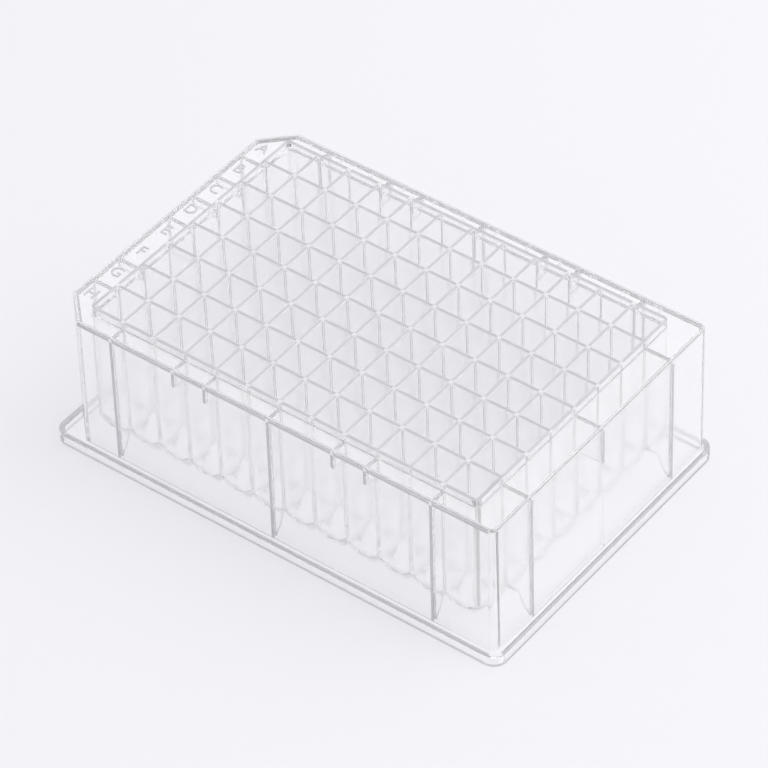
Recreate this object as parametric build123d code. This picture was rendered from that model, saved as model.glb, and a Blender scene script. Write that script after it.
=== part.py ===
from build123d import *
import os
from math import hypot, radians, sin, tan

# Deep-well plate with ninety-six square wells, moulded in one piece of clear plastic.
#
# Origin: the centre of the footprint, on the plane that the foot stands on. +X runs along the
# rows from column 1 to column 12, +Y along the columns from row H to row A, and +Z is up.
# Everything is in millimetres.

# Footprint: the laboratory standard that plate readers, nests and grippers are made for.
foot_length = 127.76
foot_width = 85.48
foot_corner_radius = 3.5
foot_height = 3.3
foot_wall = 1.3
foot_ledge_thickness = 1.3
foot_edge_radius = 0.4

# Overall height, over the mouths of the wells.
plate_height = 41.5

# Skirt: the thin shell that rises from the ledge of the foot to the deck.
ledge_width = 1.6
skirt_wall = 1.25
skirt_draft = 0.4
skirt_corner_radius = 2.2
column_1_corner_cut = 7.4

# Deck: the plate that joins the skirt to the block of wells, a little below their mouths.
deck_drop = 1.5
deck_thickness = 1.2
deck_edge_radius = 0.3

# Wells: square, slightly narrower towards the bottom, each with a conical floor. The cone is
# cut as a ring of narrow flats, within 0.06 mm of round, so that ninety-six of them stay light.
columns = 12
rows = 8
well_pitch = 9.0
well_mouth = 8.1
well_draft = 0.25
block_wall = 0.95
block_corner_radius = 1.5
tip_clearance = 2.0
tip_radius = 0.7
cone_half_angle = 40.0
cone_wall = 1.0
cone_sides = 20

# Ribs: upright webs between the block and the skirt, under the deck. Each is in line with the
# wall that follows a column, or that follows a row counted from row A.
long_rib_columns = (1, columns // 2, columns - 1)
short_rib_columns = (3, 4, columns - 4, columns - 3)
long_rib_rows = (1, rows - 1)
middle_rib_row = rows // 2
letter_rib_rows = (2, 3, rows - 2)
rib_thickness = 1.1
rib_foot_gap = 0.3
tail_width = 3.2
tail_end_width = 1.8
short_rib_depth = 5.2
middle_rib_depth = 10.8
letter_rib_depth = 3.4

# Levels and outlines that follow from the sizes above.
deck_top = plate_height - deck_drop
deck_underside = deck_top - deck_thickness
ledge_underside = foot_height - foot_ledge_thickness
skirt_length = foot_length - 2 * ledge_width
skirt_width = foot_width - 2 * ledge_width
block_length = (columns - 1) * well_pitch + well_mouth + 2 * block_wall
block_width = (rows - 1) * well_pitch + well_mouth + 2 * block_wall
cone_slope = 1 / tan(radians(cone_half_angle))
outer_apex = tip_clearance - tip_radius * cone_slope
inner_apex = outer_apex + cone_wall / sin(radians(cone_half_angle))
block_overlap = block_wall / 2
ON_BASE = (Align.CENTER, Align.CENTER, Align.MIN)


def skirt_outline(inset):
    """Plan of the skirt at the foot of the plate, drawn in by inset all round.

    The two corners beside column 1 are cut at 45 degrees, so that the plate can't be turned
    round by mistake. The two beside the last column are rounded.
    """
    plain = Rectangle(skirt_length, skirt_width)
    ends = plain.vertices().group_by(Axis.X)
    cut = chamfer(ends[0], column_1_corner_cut)
    far_corners = cut.vertices().group_by(Axis.X)[-1]
    outline = fillet(far_corners, skirt_corner_radius)
    if inset:
        outline = offset(outline, -inset, kind=Kind.INTERSECTION)
    return outline


def tapered(outline, bottom, top):
    """A prism between two levels whose sides lean in by the skirt's draft from the level zero."""
    whole = extrude(outline, top, taper=skirt_draft)
    span = Box(foot_length, foot_width, top - bottom, align=ON_BASE)
    return whole & Pos(0, 0, bottom) * span


def foot():
    """The flange that the plate stands on: a low rim and its ledge, hollow below."""
    plan = RectangleRounded(foot_length, foot_width, foot_corner_radius)
    body = extrude(plan, foot_height)
    body = fillet(body.edges().group_by(Axis.Z)[-1], foot_edge_radius)
    hollow_plan = RectangleRounded(
        foot_length - 2 * foot_wall,
        foot_width - 2 * foot_wall,
        foot_corner_radius - foot_wall,
    )
    return body - extrude(hollow_plan, ledge_underside)


def skirt_body():
    """The skirt and deck as a filled shape, rounded along the edge of the deck."""
    body = tapered(skirt_outline(0), ledge_underside, deck_top)
    return fillet(body.edges().group_by(Axis.Z)[-1], deck_edge_radius)


def skirt_hollow():
    """The space inside the skirt, from the table up to the underside of the deck."""
    return tapered(skirt_outline(skirt_wall), 0, deck_underside)


def cone(apex):
    """All that lies above a well's conical floor, whose point is at the level apex."""
    reach = well_pitch
    half_step = 180 / cone_sides
    tip = Vector(0, 0, apex)
    corner = Vector(reach, 0, apex + reach * cone_slope)
    rim = [corner.rotate(Axis.Z, half_step * (2 * k + 1)) for k in range(cone_sides)]
    flats = [Face(Wire.make_polygon([tip, rim[k - 1], rim[k]])) for k in range(cone_sides)]
    lid = Face(Wire.make_polygon(rim))
    return Part() + Solid(Shell([*flats, lid])) + extrude(lid, plate_height, dir=(0, 0, 1))


def well():
    """One hollow: a square shaft that narrows downwards, ending in a pointed cone."""
    mouth = Rectangle(well_mouth, well_mouth)
    shaft = extrude(mouth, plate_height, taper=well_draft)
    return Pos(0, 0, plate_height) * Rot(180, 0, 0) * shaft & cone(inner_apex)


def wall_after(number, count):
    """Place of the wall after the numbered cell, in a line of count cells about the middle."""
    return (number - count / 2) * well_pitch


def cell_edges(count, outer_length):
    """Cell boundaries along one side: the middles of the walls, and the block's own faces."""
    inner = [wall_after(number, count) for number in range(1, count)]
    return [-outer_length / 2, *inner, outer_length / 2]


def block_plan(inset):
    """Plan of the block of wells, drawn in by inset all round."""
    length = block_length - 2 * inset
    width = block_width - 2 * inset
    return RectangleRounded(length, width, block_corner_radius - inset)


def well_block():
    """The block of wells: a cell for each, with its share of the walls and a cone below."""
    x_edges = cell_edges(columns, block_length)
    y_edges = cell_edges(rows, block_width)
    x_places = GridLocations(well_pitch, 0, columns, 1)
    y_places = GridLocations(0, well_pitch, 1, rows)
    outside = cone(outer_apex)
    hollow = well()
    height = plate_height - tip_clearance
    block = []
    for left, right, x_place in zip(x_edges, x_edges[1:], x_places):
        column = []
        for front, back, y_place in zip(y_edges, y_edges[1:], y_places):
            place = Pos((left + right) / 2, (front + back) / 2, tip_clearance)
            cell = place * Box(right - left, back - front, height, align=ON_BASE)
            centre = x_place * y_place
            column.append(cell & centre * outside)
            column[-1] -= centre * hollow
        block.append(Part() + column)
    return Part() + block & extrude(block_plan(0), plate_height)


def rib(half_block, half_skirt, depth=None):
    """An upright web in the XZ plane, from the block's face out to the skirt at +X.

    A rib with a depth ends level, that far below the top of the deck. One without runs down
    to the foot: below the wells it is a tail along the skirt, which narrows downwards.
    """

    def wall_middle(level):
        return half_skirt - skirt_wall / 2 - level * tan(radians(skirt_draft))

    def wall_inside(level):
        return wall_middle(level) - skirt_wall / 2

    inner = half_block - block_overlap
    top = deck_top - deck_thickness / 2
    if depth:
        bottom = deck_top - depth
        outline = [(inner, top), (inner, bottom), (wall_middle(bottom), bottom)]
    else:
        end = foot_height + rib_foot_gap
        knee = end + tail_end_width
        step = outer_apex + hypot(well_pitch / 2, well_mouth / 2 + block_wall) * cone_slope
        outline = [
            (inner, top),
            (inner, step),
            (wall_inside(step) - tail_width, step),
            (wall_inside(knee) - tail_end_width, knee),
            (wall_inside(end), end),
            (wall_middle(end), end),
        ]
    outline.append((wall_middle(top), top))
    web = make_face(Polyline(outline, close=True))
    return extrude(Plane.XZ * web, rib_thickness / 2, both=True)


def ribs():
    """Every rib, each in line with the wall between two rows or two columns of wells."""
    half_length = (block_length / 2, skirt_length / 2)
    half_width = (block_width / 2, skirt_width / 2)
    webs = []
    # Long sides: the same row of ribs faces the front and the back.
    for turn in (90, -90):
        for column in long_rib_columns:
            place = Pos(wall_after(column, columns), 0, 0)
            webs.append(place * Rot(0, 0, turn) * rib(*half_width))
        for column in short_rib_columns:
            place = Pos(wall_after(column, columns), 0, 0)
            webs.append(place * Rot(0, 0, turn) * rib(*half_width, short_rib_depth))
    # Short sides: a long rib near each end and a shorter one in the middle.
    for turn in (0, 180):
        for row in long_rib_rows:
            place = Pos(0, -wall_after(row, rows), 0)
            webs.append(place * Rot(0, 0, turn) * rib(*half_length))
        place = Pos(0, -wall_after(middle_rib_row, rows), 0)
        webs.append(place * Rot(0, 0, turn) * rib(*half_length, middle_rib_depth))
    # The side beside column 1, where the row letters are, has shallow ribs as well.
    for row in letter_rib_rows:
        place = Pos(0, -wall_after(row, rows), 0)
        webs.append(place * Rot(0, 0, 180) * rib(*half_length, letter_rib_depth))
    return webs


def well_plate():
    """The whole plate: the shell, the block of wells and the ribs are one moulding."""
    shell = foot() + skirt_body() - skirt_hollow()
    shell -= extrude(block_plan(block_overlap), plate_height)
    return shell + [well_block(), *ribs()]


plate = well_plate()
plate.label = "well_plate"

os.makedirs("parts", exist_ok=True)
export_step(plate, "parts/well_plate.step")

size = plate.bounding_box().size
print(f"well_plate {size.X:.2f} x {size.Y:.2f} x {size.Z:.2f} mm, {plate.volume / 1000:.1f} ml of plastic")
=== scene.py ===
# %% [markdown]
# # A clear deep-well plate
#
# The object is a laboratory plate for small samples, moulded in one shot of clear plastic.
# Ninety-six square wells stand close together like the cells of a comb. A thin skirt stands
# round them on a foot, and a narrow deck joins the two near the top.
#
# The frame is the plate's CAD model, already at its real size, in metres. Everything below
# takes its places from that frame, so nothing has to be fitted afterwards.

# %% Load the frame
from collections import namedtuple
from math import cos, radians, sin, sqrt

import bmesh
import bpy
from mathutils import Matrix, Vector


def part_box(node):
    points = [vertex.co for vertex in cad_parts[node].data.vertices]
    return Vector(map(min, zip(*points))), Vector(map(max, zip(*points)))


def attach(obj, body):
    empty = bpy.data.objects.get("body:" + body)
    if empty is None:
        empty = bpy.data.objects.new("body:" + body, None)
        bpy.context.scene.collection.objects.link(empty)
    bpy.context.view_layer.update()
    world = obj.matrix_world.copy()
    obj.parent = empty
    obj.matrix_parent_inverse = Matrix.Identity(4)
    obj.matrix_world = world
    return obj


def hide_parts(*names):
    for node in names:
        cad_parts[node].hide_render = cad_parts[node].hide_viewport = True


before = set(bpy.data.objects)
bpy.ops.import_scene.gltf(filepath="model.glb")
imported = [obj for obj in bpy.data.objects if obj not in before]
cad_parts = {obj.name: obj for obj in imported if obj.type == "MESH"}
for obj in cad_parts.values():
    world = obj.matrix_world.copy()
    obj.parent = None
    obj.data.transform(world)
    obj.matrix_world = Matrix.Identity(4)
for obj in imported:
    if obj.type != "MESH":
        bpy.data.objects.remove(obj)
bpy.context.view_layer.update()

MM = 0.001
plate_low, plate_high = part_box("well_plate")
plate_top = plate_high.z
print("plate", [round(side / MM, 2) for side in plate_high - plate_low], "mm")

# %% [markdown]
# ## A moulding to finish
#
# The CAD node has the right shape, but two things about its mesh are wrong for clear plastic.
# Its faces are loose triangles, and its edges are sharp as knives. A sharp edge never catches
# the light, and on a clear part the edges are most of what one sees.
#
# One could round every edge in the CAD model. There are thousands, and each would cost the
# model many faces. It is lighter to round them here, on a copy of the mesh. The copy's loose
# triangles are first merged, and flat ones are joined up into whole faces again.

# %% Copy the node's mesh and merge it
MERGE_GAP = 0.002 * MM
FLAT_ANGLE = radians(0.3)


def take_up(piece):
    """Leave only this piece selected and active, as a click on it would."""
    for other in bpy.context.selected_objects:
        other.select_set(False)
    piece.select_set(True)
    bpy.context.view_layer.objects.active = piece


def edit_mode(piece, element):
    """Open a piece in edit mode, to pick its faces or its edges, with nothing picked yet."""
    take_up(piece)
    bpy.ops.object.mode_set(mode="EDIT")
    bpy.ops.mesh.select_mode(type=element)
    bpy.ops.mesh.select_all(action="DESELECT")


def copy_of_node(node, name):
    """A new piece with its own copy of a CAD node's mesh, merged into whole faces."""
    piece = bpy.data.objects.new(name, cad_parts[node].data.copy())
    bpy.context.scene.collection.objects.link(piece)
    piece.data.materials.clear()
    edit_mode(piece, "VERT")
    bpy.ops.mesh.select_all(action="SELECT")
    bpy.ops.mesh.remove_doubles(threshold=MERGE_GAP)
    bpy.ops.mesh.dissolve_limited(angle_limit=FLAT_ANGLE)
    bpy.ops.object.mode_set(mode="OBJECT")
    return piece


moulding = copy_of_node("well_plate", "moulding")
print("moulding:", len(moulding.data.polygons), "faces after merging")

# %% [markdown]
# ## The plate's own measures
#
# The finish and the painted light and shade below follow the parts of the moulding, so a few of
# its measures are needed: the grid of wells, the deck, the skirt, and the ribs between the skirt
# and the block of wells. A rib is in line with the wall that follows a column, or a row counted
# from A.
#
# Each side of the plate is described once, by the way it faces, the way its ribs are counted,
# how many wells it has, how far out the block of wells reaches, and how deep each rib goes.
# The rest of the script can then treat the four sides alike.

# %% Describe the plate's sides
COLUMNS, ROWS = 12, 8
WELL_PITCH = 9.0 * MM
BLOCK_OVER_WELLS = 0.5 * MM
DECK_DROP = 1.5 * MM
DECK_THICKNESS = 1.2 * MM
FOOT_HEIGHT = 3.3 * MM
LEDGE_WIDTH = 1.6 * MM
SKIRT_LEAN = 0.28 * MM
CORNER_CUT = 7.4 * MM
SHORT_RIB, MIDDLE_RIB, LETTER_RIB = 5.2 * MM, 10.8 * MM, 3.4 * MM

deck_top = plate_top - DECK_DROP
deck_underside = deck_top - DECK_THICKNESS
block_half_length = COLUMNS * WELL_PITCH / 2 + BLOCK_OVER_WELLS
block_half_width = ROWS * WELL_PITCH / 2 + BLOCK_OVER_WELLS
skirt_half_length = plate_high.x - LEDGE_WIDTH - SKIRT_LEAN
skirt_half_width = plate_high.y - LEDGE_WIDTH - SKIRT_LEAN

FRONT, BACK = Vector((0, -1, 0)), Vector((0, 1, 0))
LEFT, RIGHT = Vector((-1, 0, 0)), Vector((1, 0, 0))
UP = Vector((0, 0, 1))
LONG_RIB = deck_top - FOOT_HEIGHT
long_side_ribs = {1: LONG_RIB, COLUMNS // 2: LONG_RIB, COLUMNS - 1: LONG_RIB}
long_side_ribs |= {3: SHORT_RIB, 4: SHORT_RIB, COLUMNS - 4: SHORT_RIB, COLUMNS - 3: SHORT_RIB}
right_side_ribs = {1: LONG_RIB, ROWS // 2: MIDDLE_RIB, ROWS - 1: LONG_RIB}
left_side_ribs = right_side_ribs | {2: LETTER_RIB, 3: LETTER_RIB, ROWS - 2: LETTER_RIB}

Side = namedtuple("Side", "outward along count block_half ribs")
sides = [
    Side(FRONT, RIGHT, COLUMNS, block_half_width, long_side_ribs),
    Side(BACK, RIGHT, COLUMNS, block_half_width, long_side_ribs),
    Side(RIGHT, FRONT, ROWS, block_half_length, right_side_ribs),
    Side(LEFT, FRONT, ROWS, block_half_length, left_side_ribs),
]


def wall_after(number, count):
    """Place of the wall after the numbered well, in a line of count wells about the middle."""
    return (number - count / 2) * WELL_PITCH


print("ribs:", sum(len(side.ribs) for side in sides))

# %% [markdown]
# ## Cut the skirt where one looks into the plastic
#
# A wall seen on its flat is clear, but seen on its edge it looks grey, as the edge of a window
# pane looks green: there the light has run the whole length of the wall. The plastic here is the
# same all through, so that grey is painted shade. It goes in the tint of the faces where one
# looks into the depth of the plastic: at the tops of the walls, at the rim of the foot, and
# where the deck and the ribs meet the skirt from behind.
#
# The deck and the ribs are joined to the skirt, so its plain face has to be cut along their
# outlines before that part of it can have its own painted shade. The bisect operator cuts the
# picked faces with a plane, and it leaves the mesh closed.

# %% Cut the skirt along the deck and the ribs
SAME_WAY = 0.98
RIB_LINE = 0.8 * MM
SKIRT_CLEAR_OF_BLOCK = 3.0 * MM


def pick_faces(piece, wanted):
    """In edit mode, pick the faces that pass a test, and no others, and count them."""
    bpy.ops.mesh.select_all(action="DESELECT")
    edit = bmesh.from_edit_mesh(piece.data)
    chosen = [face for face in edit.faces if wanted(face)]
    for face in chosen:
        face.select_set(True)
    bmesh.update_edit_mesh(piece.data)
    return len(chosen)


def cut(piece, wanted, point, normal):
    """In edit mode, cut the faces that pass a test with the plane through a point."""
    pick_faces(piece, wanted)
    bpy.ops.mesh.bisect(plane_co=point, plane_no=normal)


def is_on_skirt(face, side):
    """True for the skirt's outer faces on one side, above the foot."""
    middle = face.calc_center_median()
    far_out = side.block_half + SKIRT_CLEAR_OF_BLOCK
    faces_out = face.normal.dot(side.outward) > SAME_WAY
    return faces_out and middle.dot(side.outward) > far_out and middle.z > FOOT_HEIGHT


def rib_depth_at(face, side):
    """Depth of the rib behind a face, or nothing where there is no rib."""
    place = face.calc_center_median().dot(side.along)
    for number, depth in side.ribs.items():
        if abs(place - wall_after(number, side.count)) < RIB_LINE / 2:
            return depth
    return 0.0


edit_mode(moulding, "FACE")
for side in sides:
    cut(moulding, lambda face: is_on_skirt(face, side), UP * deck_underside, UP)
    for number in side.ribs:
        for rib_face in (-RIB_LINE / 2, RIB_LINE / 2):
            line = side.along * (wall_after(number, side.count) + rib_face)
            cut(moulding, lambda face: is_on_skirt(face, side), line, side.along)
    # The long ribs run down to the foot, so only the others have an end to cut.
    for depth in set(side.ribs.values()) - {LONG_RIB}:
        cut(
            moulding,
            lambda face: is_on_skirt(face, side) and rib_depth_at(face, side) == depth,
            UP * (deck_top - depth),
            UP,
        )
bpy.ops.object.mode_set(mode="OBJECT")
print("moulding:", len(moulding.data.polygons), "faces after the cuts in the skirt")

# %% [markdown]
# ## Cut a border round the deck
#
# The outermost strip of the deck gets a paler painted tone than the rest. It is painted light
# that stands for looking down through it into the height of the skirt. The deck's top is cut a
# little inside its outline: along the four sides, and across the two corners beside column 1
# that are cut off.

# %% Cut the border of the deck
ON_LEVEL = 0.05 * MM
BORDER_WIDTH = 0.6 * MM


def is_flat_at(face, level):
    """True for a face that looks straight up, at this level."""
    return face.normal.z > SAME_WAY and abs(face.calc_center_median().z - level) < ON_LEVEL


# How far the line of a corner cut at 45 degrees is from the middle of the plate.
corner_reach = (skirt_half_length + skirt_half_width - CORNER_CUT) / sqrt(2)
border = [
    (RIGHT, skirt_half_length),
    (LEFT, skirt_half_length),
    (BACK, skirt_half_width),
    (FRONT, skirt_half_width),
    ((LEFT + BACK).normalized(), corner_reach),
    ((LEFT + FRONT).normalized(), corner_reach),
]
edit_mode(moulding, "FACE")
for outward, reach in border:
    line = outward * (reach - BORDER_WIDTH)
    cut(moulding, lambda face: is_flat_at(face, deck_top), line, outward)
bpy.ops.object.mode_set(mode="OBJECT")
print("moulding:", len(moulding.data.polygons), "faces after the cuts in the deck")

# %% [markdown]
# ## Clear plastic
#
# The plate is clear styrene, and light goes through dozens of its walls before it comes out.
# The surface bends light (an index of refraction of 1.49) and has a slight haze from the
# mould. The haze isn't even, because the polish of the mould isn't, so a soft noise pattern
# makes some places a little clearer than others. The same pattern clouds the tint.
#
# Glass like this stops lamps from shining through, and its shadow would come out black. So a
# ray that looks for a lamp meets a plain see-through sheet instead, and so does one that
# comes from the matt floor. This is quick, and it gives the plate its pale, soft shadow.

# %% Describe the plastic
REFRACTION = 1.49
CLOUD_SIZE = 12 * MM
CLOUD_DETAIL = 2.0
HAZE_SPREAD = 0.2
Polish = namedtuple("Polish", "clearness haze clouded")


def clouds(nodes, links):
    """A soft pattern from nought to one that stays in place on the object."""
    place = nodes.new("ShaderNodeTexCoord")
    pattern = nodes.new("ShaderNodeTexNoise")
    pattern.inputs["Scale"].default_value = 1 / CLOUD_SIZE
    pattern.inputs["Detail"].default_value = CLOUD_DETAIL
    links.new(place.outputs["Object"], pattern.inputs["Vector"])
    return pattern.outputs["Fac"]


def sheet_for(ray, sheet_tint, surface, nodes, links):
    """The surface, but a see-through sheet of this tint for one kind of ray."""
    path = nodes.new("ShaderNodeLightPath")
    sheet = nodes.new("ShaderNodeBsdfTransparent")
    sheet.inputs["Color"].default_value = sheet_tint
    either = nodes.new("ShaderNodeMixShader")
    links.new(path.outputs[ray], either.inputs["Fac"])
    links.new(surface, either.inputs[1])
    links.new(sheet.outputs["BSDF"], either.inputs[2])
    return either.outputs["Shader"]


def clear_plastic(name, tint, polish, sheets):
    """Styrene of one tint and polish, with the sheet that each kind of ray meets instead. The
    grey and pale tints are painted shade and painted light.
    """
    material = bpy.data.materials.new(name)
    material.use_nodes = True
    nodes, links = material.node_tree.nodes, material.node_tree.links
    nodes.clear()
    cloud = clouds(nodes, links)

    colour = nodes.new("ShaderNodeMix")
    colour.data_type = "RGBA"
    colour.inputs["A"].default_value = [*tint, 1.0]
    colour.inputs["B"].default_value = [*(part * (1 - polish.clouded) for part in tint), 1.0]
    links.new(cloud, colour.inputs["Factor"])

    haze = nodes.new("ShaderNodeMapRange")
    haze.inputs["To Min"].default_value = polish.haze * (1 - HAZE_SPREAD)
    haze.inputs["To Max"].default_value = polish.haze * (1 + HAZE_SPREAD)
    links.new(cloud, haze.inputs["Value"])

    body = nodes.new("ShaderNodeBsdfPrincipled")
    body.distribution = "MULTI_GGX"
    body.inputs["IOR"].default_value = REFRACTION
    body.inputs["Transmission Weight"].default_value = polish.clearness
    links.new(colour.outputs["Result"], body.inputs["Base Color"])
    links.new(haze.outputs["Result"], body.inputs["Roughness"])

    surface = body.outputs["BSDF"]
    for ray, sheet_tint in sheets.items():
        surface = sheet_for(ray, sheet_tint, surface, nodes, links)
    output = nodes.new("ShaderNodeOutputMaterial")
    links.new(surface, output.inputs["Surface"])
    return material


print("clouds", CLOUD_SIZE / MM, "mm across")

# %% [markdown]
# ## Clear plastic, with painted light and shade on its edges
#
# The faces of the walls are polished and clear. The edges that one looks into are frosted, and
# their tint is painted grey shade for the light lost along the depth of the wall. The tops that
# run with the columns get a lighter painted shade than those that run with the rows, because the
# light falls on them differently. The rounded strips, the crossings and the deck's border get a
# pale painted tone, which is painted light along them.
#
# The polished faces let nearly all the light through to the floor. The edges with the darker
# painted shade hold back about a third of it, which draws a thin dark line on the floor under
# the foot.
#
# All four are the same styrene, so all the pieces carry the four in the same order.

# %% Make the clear finish and the painted light and shade
CLEAR_WALL, PAINTED_SHADE_EDGE, PAINTED_LIGHT_STRIP, LIGHTER_PAINTED_SHADE_EDGE = range(4)
POLISHED = Polish(clearness=0.92, haze=0.10, clouded=0.004)
HALF_FROSTED = Polish(clearness=0.5, haze=0.35, clouded=0.02)
FROSTED = Polish(clearness=0.3, haze=0.35, clouded=0.08)
NO_TINT = (1.0, 1.0, 1.0)
# Painted shade: the grey for the edges that one looks into. The plastic itself is clear.
PAINTED_SHADE_TINT = (0.55, 0.55, 0.58)
# Painted light: a pale tone for the rounded strips, the crossings and the deck's border.
PAINTED_LIGHT_TINT = (0.90, 0.90, 0.92)
# Painted shade, lighter: for the tops that run with the columns, and for the letters.
LIGHTER_PAINTED_SHADE_TINT = (0.62, 0.62, 0.65)
TO_LAMP, FROM_FLOOR = "Is Shadow Ray", "Is Diffuse Ray"
THIN_SHEET = (0.95, 0.95, 0.955, 1.0)
CLEAREST_SHEET = (0.995, 0.995, 0.996, 1.0)
GREY_SHEET = (0.70, 0.70, 0.71, 1.0)
CLEAR_SHEETS = {TO_LAMP: THIN_SHEET, FROM_FLOOR: CLEAREST_SHEET}
GREY_SHEETS = {TO_LAMP: GREY_SHEET, FROM_FLOOR: GREY_SHEET}
finishes_and_painted_light = [
    clear_plastic("clear_styrene", NO_TINT, POLISHED, CLEAR_SHEETS),
    clear_plastic("styrene_painted_shade_edge", PAINTED_SHADE_TINT, FROSTED, GREY_SHEETS),
    clear_plastic("styrene_painted_light_strip", PAINTED_LIGHT_TINT, HALF_FROSTED, CLEAR_SHEETS),
    clear_plastic("styrene_lighter_painted_shade_edge", LIGHTER_PAINTED_SHADE_TINT, FROSTED, CLEAR_SHEETS),
]


def finish_in_plastic(piece):
    """Give a piece the plastic, with its painted light and shade, and tell the frame where it
    belongs.
    """
    for finish in finishes_and_painted_light:
        piece.data.materials.append(finish)
    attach(piece, "root")


finish_in_plastic(moulding)
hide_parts("well_plate")
print("moulding:", len(moulding.data.materials), "finishes_and_painted_light")

# %% [markdown]
# ## Round the real edges
#
# Some edges of the mesh are real, such as the rim of a well or the end of a rib. Others are
# only there to follow a curve, such as the facets of the wells' cones. The real ones turn by
# a large angle and are long. They are picked in edit mode and given a bevel weight, which
# tells the Bevel modifier to round them and to leave the rest alone.
#
# A polished steel mould leaves edges of about a tenth of a millimetre, so the bevel is that
# narrow. Two segments are enough, because it only ever shows as a line of light. The modifier
# puts the new strips in a material of their own, with a pale painted tone that is painted light,
# so that they can be found again.

# %% Pick the edges and bevel them
EDGE_ROUND = 0.10 * MM
EDGE_SEGMENTS = 2
SHARP_ANGLE = radians(30)
SHORT_EDGE = 1.5 * MM


def is_real_edge(edge):
    """True where two faces meet at a clear angle, along more than a sliver."""
    return (
        edge.is_manifold
        and edge.calc_length() > SHORT_EDGE
        and edge.calc_face_angle() > SHARP_ANGLE
    )


edit_mode(moulding, "EDGE")
edit = bmesh.from_edit_mesh(moulding.data)
real_edges = [edge for edge in edit.edges if is_real_edge(edge)]
for edge in real_edges:
    edge.select_set(True)
print("moulding:", len(real_edges), "edges to round, of", len(edit.edges))
bmesh.update_edit_mesh(moulding.data)
bpy.ops.transform.edge_bevelweight(value=1.0)
bpy.ops.object.mode_set(mode="OBJECT")

rounding = moulding.modifiers.new("rounding", "BEVEL")
rounding.limit_method = "WEIGHT"
rounding.width = EDGE_ROUND
rounding.segments = EDGE_SEGMENTS
rounding.use_clamp_overlap = False
# The new strips get the pale painted tone, which is painted light.
rounding.material = PAINTED_LIGHT_STRIP
bpy.ops.object.modifier_apply(modifier=rounding.name)
print("moulding:", len(moulding.data.polygons), "faces after rounding")

# %% [markdown]
# ## Cut the tops of the walls at their crossings
#
# The walls between the wells cross each other, and each crossing gets a small square of pale
# painted tone. It is painted light for where one looks down into plastic that is thick in both
# directions. The flat tops are cut along both sides of every wall. This comes after the
# rounding, because the cuts would otherwise run into the rounded rims.

# %% Cut the tops along every wall
HALF_WALL_TOP = 0.56 * MM

edit_mode(moulding, "FACE")
for along, count in ((RIGHT, COLUMNS), (BACK, ROWS)):
    for number in range(1, count):
        for wall_side in (-HALF_WALL_TOP, HALF_WALL_TOP):
            line = along * (wall_after(number, count) + wall_side)
            cut(moulding, lambda face: is_flat_at(face, plate_top), line, along)
bpy.ops.object.mode_set(mode="OBJECT")
print("moulding:", len(moulding.data.polygons), "faces after the cuts in the tops")

# %% [markdown]
# ## Smooth the curves and keep the flats flat
#
# Smooth shading blends the facets of the cones and of the rounded edges. By itself it would
# also bend the light near the edge of each wall, because a corner's normal is then an average
# of the faces round it. Clear plastic shows this at once, as ripples in the walls. A Weighted
# Normal modifier lets the largest face at a corner decide, so each wall stays a true flat.

# %% Shade the moulding
SMOOTH_ANGLE = radians(50)
LARGEST_FACE_WINS = 100


def shade_flat_and_round(piece):
    """Smooth shading that bends round the curves and leaves flat faces flat."""
    take_up(piece)
    bpy.ops.object.shade_smooth_by_angle(angle=SMOOTH_ANGLE)
    normals = piece.modifiers.new("flat faces", "WEIGHTED_NORMAL")
    normals.mode = "FACE_AREA"
    normals.weight = LARGEST_FACE_WINS
    normals.keep_sharp = True
    bpy.ops.object.modifier_apply(modifier=normals.name)


shade_flat_and_round(moulding)
print("moulding shaded")

# %% [markdown]
# ## Paint light and shade on the tops of the walls
#
# From here on, each face that gets painted shade, and each that gets painted light, instead of
# the clear finish, is picked in edit mode, and that finish is assigned to it, as one would do by
# hand. Everything that isn't picked keeps what it has: clear walls, and frosted strips with
# their pale painted tone from the rounding.
#
# The tops come first. They are told by their level, and which painted tone they get by where the
# walls run.

# %% Paint shade and light on the tops
def give_finish(piece, finish, wanted):
    """Assign a finish to the faces of a piece that pass a test."""
    edit_mode(piece, "FACE")
    count = pick_faces(piece, wanted)
    piece.active_material_index = finish
    bpy.ops.object.material_slot_assign()
    bpy.ops.object.mode_set(mode="OBJECT")
    print(piece.name, count, "faces", finishes_and_painted_light[finish].name, "-", wanted.__name__)


def is_over_wall(place, count):
    """True where a place along a line of wells is on the top of a wall that crosses the line."""
    number = round(place / WELL_PITCH + count / 2)
    return abs(place - wall_after(number, count)) < HALF_WALL_TOP


def is_top_along_rows(face):
    """The tops that run with the rows, between one crossing and the next."""
    return is_flat_at(face, plate_top) and not is_over_wall(face.calc_center_median().x, COLUMNS)


def is_top_along_columns(face):
    """The tops that run with the columns, between one crossing and the next."""
    middle = face.calc_center_median()
    between = is_over_wall(middle.x, COLUMNS) and not is_over_wall(middle.y, ROWS)
    return between and is_flat_at(face, plate_top)


def is_crossing(face):
    """The small squares where two walls cross."""
    middle = face.calc_center_median()
    crossed = is_over_wall(middle.x, COLUMNS) and is_over_wall(middle.y, ROWS)
    return crossed and is_flat_at(face, plate_top)


def is_border(face):
    """The border of the deck's top, which gets a pale painted tone."""
    middle = face.calc_center_median()
    outside = any(middle.dot(outward) > reach - BORDER_WIDTH for outward, reach in border)
    return outside and is_flat_at(face, deck_top)


# Painted shade on the tops, and painted light on the crossings and the deck's border.
give_finish(moulding, PAINTED_SHADE_EDGE, is_top_along_rows)
give_finish(moulding, LIGHTER_PAINTED_SHADE_EDGE, is_top_along_columns)
give_finish(moulding, PAINTED_LIGHT_STRIP, is_crossing)
give_finish(moulding, PAINTED_LIGHT_STRIP, is_border)

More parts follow.
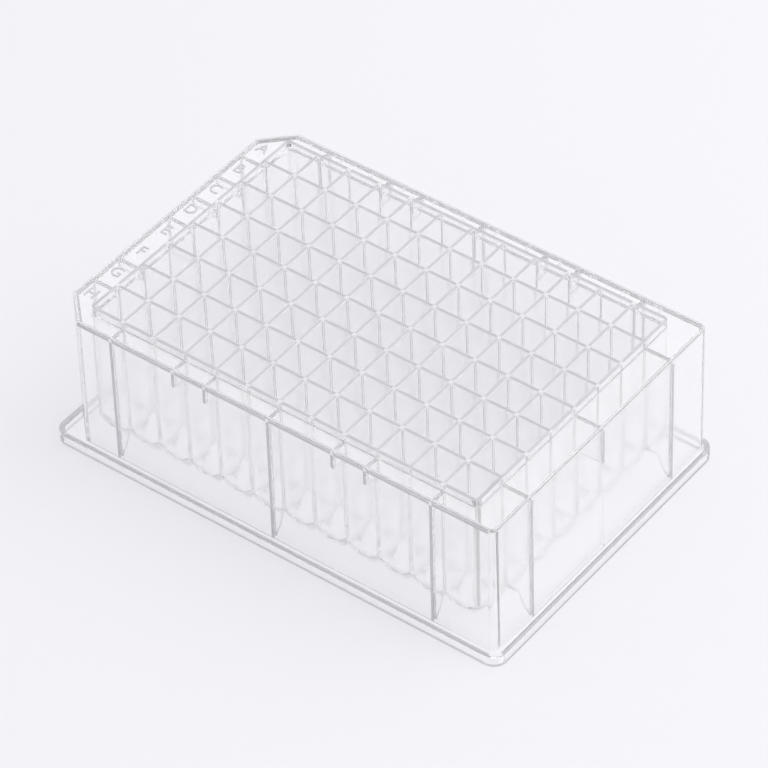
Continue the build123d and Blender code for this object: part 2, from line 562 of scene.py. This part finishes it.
# %% [markdown]
# ## Paint shade on the deck's edge and the ribs
#
# Through the skirt one sees the edge of the deck on the front and the back, and the edges of the
# ribs, and they get a grey painted shade. On the skirt these are the strips that were cut out
# before. A rib's own narrow faces, at its end and down its tail, get the painted shade as well.

# %% Give the ribs and the deck's edge their painted shade
NARROW = 1.2 * MM
NEAR_BLOCK = 0.3 * MM
LEANING = 0.3


def is_seen_through_skirt(face):
    """The parts of the skirt that have a rib behind them or, front and back, the deck."""
    level = face.calc_center_median().z
    for side in sides:
        if not is_on_skirt(face, side):
            continue
        depth = rib_depth_at(face, side)
        if depth:
            return deck_top - depth < level < deck_underside
        return level > deck_underside and side.outward in (FRONT, BACK)
    return False


def is_end_of_rib(face):
    """The narrow faces that a rib turns down or inwards."""
    middle = face.calc_center_median()
    # Twice the area over the perimeter is about the width of a long face.
    narrow = 2 * face.calc_area() / face.calc_perimeter() < NARROW
    if not narrow or not FOOT_HEIGHT < middle.z < deck_underside:
        return False
    for side in sides:
        beyond_block = middle.dot(side.outward) > side.block_half + NEAR_BLOCK
        if beyond_block and rib_depth_at(face, side) and not is_on_skirt(face, side):
            return abs(face.normal.dot(side.along)) < LEANING
    return False


# Painted grey shade on the ribs and on the deck's edge.
give_finish(moulding, PAINTED_SHADE_EDGE, is_seen_through_skirt)
give_finish(moulding, PAINTED_SHADE_EDGE, is_end_of_rib)

# %% [markdown]
# ## Paint shade on the foot and the outer strips
#
# The foot shows as two lines, its rounded top edge and the rim that it stands on, and both get a
# grey painted shade. The rounded strips along the foot and along the ends of the ribs get it
# with them. Those that touch the deck keep the frosted strips' pale painted tone, because one
# looks at them through the deck, and so do the upright ones, which are faint on a clear part.

# %% Give the foot and the outer strips their painted shade
FOOT_ROUNDING = 0.4 * MM
CLEAR_OF_DECK = 1.0 * MM


def is_outer_strip(face):
    """Rounded strips below the deck and clear of the block, apart from the upright ones."""
    middle = face.calc_center_median()
    if face.material_index != PAINTED_LIGHT_STRIP or middle.z > deck_underside - CLEAR_OF_DECK:
        return False
    beyond_length = abs(middle.x) > block_half_length + NEAR_BLOCK
    beyond_width = abs(middle.y) > block_half_width + NEAR_BLOCK
    return (beyond_length or beyond_width) and abs(face.normal.z) > LEANING


def is_rim_of_foot(face):
    """The rounded top edge of the foot, and the rim that it stands on."""
    middle = face.calc_center_median()
    if face.normal.z < -SAME_WAY:
        return middle.z < ON_LEVEL
    outside = abs(middle.x) > plate_high.x - FOOT_ROUNDING
    outside = outside or abs(middle.y) > plate_high.y - FOOT_ROUNDING
    at_top = FOOT_HEIGHT - FOOT_ROUNDING < middle.z < FOOT_HEIGHT
    return outside and at_top and 0 < face.normal.z < SAME_WAY


# Painted grey shade on the foot and on the outer strips.
give_finish(moulding, PAINTED_SHADE_EDGE, is_outer_strip)
give_finish(moulding, PAINTED_SHADE_EDGE, is_rim_of_foot)

# %% [markdown]
# ## Letters for the rows, numbers for the columns
#
# A well is named by its row and column, such as B7, so such plates carry the letters A to H
# down one side of the deck and the numbers 1 to 12 along the back. They stand a hair above
# the deck, because they are engraved in the mould.
#
# They could be cut into the CAD model, at the cost of thousands of small faces. Text objects
# are simpler. Each is placed and made a mesh, and then its place is applied, so that the
# finished piece lies at the origin as the frame's own pieces do. The size of a text is that of
# its whole line, and a capital letter is about three quarters as tall.

# %% Shape the marks
RAISED_BY = 0.25 * MM
SUNK_BY = 0.05 * MM
CAP_HEIGHT = 0.73
CURVE_STEPS = 5


def raised_mark(text, x, y, height):
    """A letter or number that stands on the deck, as a mesh with its place applied."""
    thickness = RAISED_BY + SUNK_BY
    level = deck_top - SUNK_BY + thickness / 2
    bpy.ops.object.text_add(location=(x, y, level))
    mark = bpy.context.object
    mark.data.body = text
    mark.data.size = height / CAP_HEIGHT
    mark.data.align_x = "CENTER"
    mark.data.align_y = "CENTER"
    mark.data.extrude = thickness / 2
    mark.data.resolution_u = CURVE_STEPS
    bpy.ops.object.convert(target="MESH")
    bpy.ops.object.transform_apply(location=True, rotation=True, scale=True)
    return mark


def set_of_marks(name, marks):
    """All the marks of one kind, joined, closed and finished as one piece."""
    take_up(marks[0])
    for mark in marks:
        mark.select_set(True)
    bpy.ops.object.join()
    piece = bpy.context.object
    piece.name = name
    edit_mode(piece, "VERT")
    bpy.ops.mesh.select_all(action="SELECT")
    bpy.ops.mesh.remove_doubles(threshold=MERGE_GAP)
    bpy.ops.mesh.normals_make_consistent(inside=False)
    bpy.ops.object.mode_set(mode="OBJECT")
    shade_flat_and_round(piece)
    finish_in_plastic(piece)
    print(name, len(piece.data.polygons), "faces")
    return piece


print("marks stand", RAISED_BY / MM, "mm above the deck")

# %% [markdown]
# The letters are frosted, and get the lighter grey painted shade of the tops, so that they can
# be read against the clear deck. The numbers are left clear, and show only as the light catches
# them.

# %% Letter the plate
LETTER_HEIGHT = 3.2 * MM
NUMBER_HEIGHT = 1.9 * MM
LETTERS_FROM_BLOCK = 3.7 * MM
NUMBERS_FROM_BLOCK = 2.1 * MM


def is_any(face):
    """Every face."""
    return True


letters_x = -block_half_length - LETTERS_FROM_BLOCK
letters = []
for row in range(ROWS):
    letter = chr(ord("A") + row)
    row_middle = wall_after(ROWS - row, ROWS) - WELL_PITCH / 2
    letters.append(raised_mark(letter, letters_x, row_middle, LETTER_HEIGHT))
row_letters = set_of_marks("row_letters", letters)
# The letters carry the lighter painted shade.
give_finish(row_letters, LIGHTER_PAINTED_SHADE_EDGE, is_any)

numbers_y = block_half_width + NUMBERS_FROM_BLOCK
numbers = []
for column in range(1, COLUMNS + 1):
    column_middle = wall_after(column, COLUMNS) - WELL_PITCH / 2
    numbers.append(raised_mark(str(column), column_middle, numbers_y, NUMBER_HEIGHT))
column_numbers = set_of_marks("column_numbers", numbers)
give_finish(column_numbers, CLEAR_WALL, is_any)

# %% [markdown]
# ## A pale floor
#
# Clear plastic shows what is round it, so the floor is a large part of the plate's look. It is
# plain pale paint, matt enough to mirror nothing, and it runs far past the edges of the view.

# %% Lay the floor
FLOOR_SIZE = 6.0
FLOOR_COLOUR = (0.755, 0.755, 0.772, 1.0)
FLOOR_ROUGHNESS = 0.9
FLOOR_SHINE = 0.1

take_up(moulding)
bpy.ops.mesh.primitive_plane_add(size=FLOOR_SIZE, location=(0, 0, 0))
floor = bpy.context.object
floor.name = "floor"
paint = bpy.data.materials.new("floor_paint")
paint.use_nodes = True
coat = paint.node_tree.nodes["Principled BSDF"]
coat.inputs["Base Color"].default_value = FLOOR_COLOUR
coat.inputs["Roughness"].default_value = FLOOR_ROUGHNESS
coat.inputs["Specular IOR Level"].default_value = FLOOR_SHINE
floor.data.materials.append(paint)
print("floor", FLOOR_SIZE, "m wide")

# %% [markdown]
# ## Soft studio light
#
# An even, almost white sky does most of the work, as a light tent would. One large round lamp
# beyond the plate's right side adds a soft direction, and it throws the pale shadow to the
# left. A small lamp would leave white sparks at every corner inside the skirt.

# %% Light the scene
SKY_COLOUR = (0.985, 0.975, 1.0, 1.0)
SKY_STRENGTH = 0.965
LAMP_PLACE = (0.95, 0.75, 1.35)
LAMP_SIZE = 1.6
LAMP_POWER = 14.0

sky = bpy.data.worlds.new("studio")
bpy.context.scene.world = sky
sky.use_nodes = True
tent = sky.node_tree.nodes["Background"]
tent.inputs["Color"].default_value = SKY_COLOUR
tent.inputs["Strength"].default_value = SKY_STRENGTH

plate_middle = Vector((0.0, 0.0, plate_top / 2))
towards_lamp = Vector(LAMP_PLACE) - plate_middle
bpy.ops.object.light_add(type="AREA", location=LAMP_PLACE)
lamp = bpy.context.object
lamp.name = "window"
lamp.data.shape = "DISK"
lamp.data.size = LAMP_SIZE
lamp.data.energy = LAMP_POWER
lamp.rotation_euler = towards_lamp.to_track_quat("Z", "Y").to_euler()
print("lamp", round(towards_lamp.length, 2), "m away")

# %% [markdown]
# ## The camera
#
# The camera looks down on a corner of the plate from a metre away through a long lens, so the
# plate's lines stay almost parallel. It is placed on an arm that starts at the middle of the
# plate. The arm is turned round and lifted, and the camera is then moved a little sideways and
# down, with a slight roll about its own axis.

# %% Place the camera
AZIMUTH = radians(38.51)
ELEVATION = radians(42.68)
ROLL = radians(-2.0)
LENS = 211.0
DISTANCE = 1.02906
SIDE_SHIFT = 0.70 * MM
UP_SHIFT = -0.83 * MM
NEAREST, FARTHEST = 0.05, 50.0

arm = Vector((sin(AZIMUTH) * cos(ELEVATION), -cos(AZIMUTH) * cos(ELEVATION), sin(ELEVATION)))
level = Vector((cos(AZIMUTH), sin(AZIMUTH), 0.0))
upright = arm.cross(level)
side_axis = level * cos(ROLL) + upright * sin(ROLL)
up_axis = upright * cos(ROLL) - level * sin(ROLL)
spot = plate_middle + arm * DISTANCE + side_axis * SIDE_SHIFT + up_axis * UP_SHIFT

bpy.ops.object.camera_add()
camera = bpy.context.object
camera.name = "camera"
camera.data.lens = LENS
camera.data.clip_start = NEAREST
camera.data.clip_end = FARTHEST
turn = Matrix((side_axis, up_axis, arm)).transposed().to_4x4()
camera.matrix_world = Matrix.Translation(spot) @ turn
bpy.context.scene.camera = camera
print("camera", [round(value, 3) for value in spot])

# %% [markdown]
# ## How far the light may travel
#
# A ray that enters the block of wells is bent and mirrored by wall after wall. If it is cut
# short it comes back black, and the middle of the plate goes dark, so these limits are far
# above the usual ones. Matt bounces matter less, and a few are enough. The last limit takes
# off rare sparks, where a ray happens to find its way back to the lamp.
#
# The view transform is set to Standard, which shows a colour about as it is written.

# %% Set the light paths and the view
CLEAR_BOUNCES = 24
MATT_BOUNCES = 3
SHEETS_PASSED = 40
BRIGHTEST_SPARK = 2.0

scene = bpy.context.scene
scene.cycles.max_bounces = CLEAR_BOUNCES
scene.cycles.glossy_bounces = CLEAR_BOUNCES
scene.cycles.transmission_bounces = CLEAR_BOUNCES
scene.cycles.diffuse_bounces = MATT_BOUNCES
scene.cycles.transparent_max_bounces = SHEETS_PASSED
scene.cycles.sample_clamp_indirect = BRIGHTEST_SPARK
scene.view_settings.view_transform = "Standard"
print("clear bounces", scene.cycles.max_bounces)
